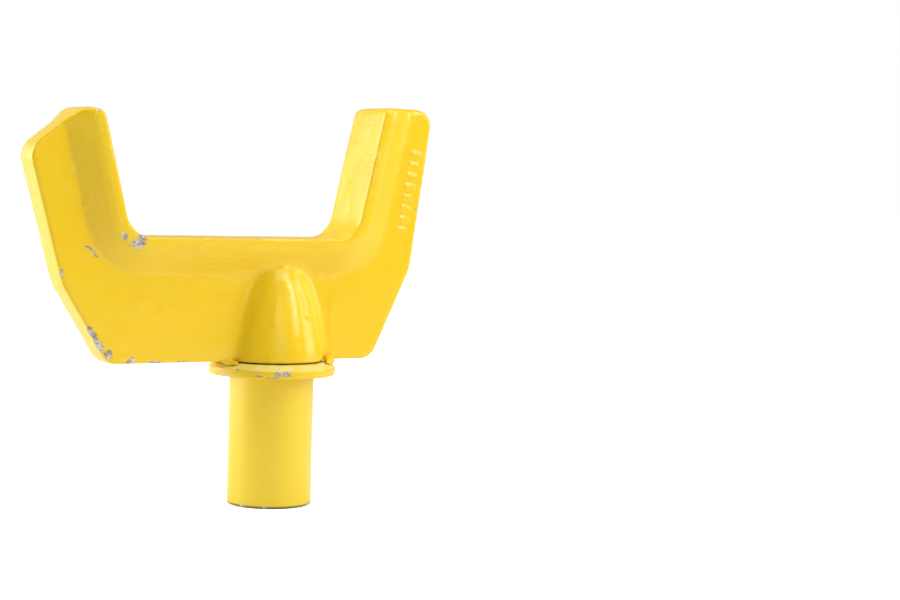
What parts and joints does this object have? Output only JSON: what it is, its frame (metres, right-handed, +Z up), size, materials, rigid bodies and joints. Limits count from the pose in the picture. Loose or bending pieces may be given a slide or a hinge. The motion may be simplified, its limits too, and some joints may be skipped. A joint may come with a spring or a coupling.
{
  "type": "lift cradle adapter",
  "caption": "Painted steel U-shaped cradle fork with a slant-topped arm and a flat-topped arm, a bullet boss, a welded collar and a round stub that drops into a lift arm",
  "frame": {"origin": "on the stub axis, on the underside of the collar", "axes": "+Z up along the stub towards the seat; +X along the mouth of the U towards the flat-topped arm; +Y through the mouth towards the rear face"},
  "size_m": [0.193, 0.0572, 0.1806],
  "materials": {
    "forging_paint": "glossy safety yellow enamel over a forged skin, chipped at the edges",
    "bar_paint": "glossy safety yellow enamel over drawn bar",
    "collar_paint": "glossy safety yellow enamel, chipped on the rim",
    "weld_paint": "glossy safety yellow enamel over weld ripple"
  },
  "bodies": {
    "root": {"fork_cradle": "forging_paint", "stub_pin": "bar_paint", "collar_washer": "collar_paint", "weld_front_slant": "weld_paint", "weld_front_flat": "weld_paint", "weld_rear_flat": "weld_paint", "weld_rear_slant": "weld_paint"}
  },
  "joints": []
}
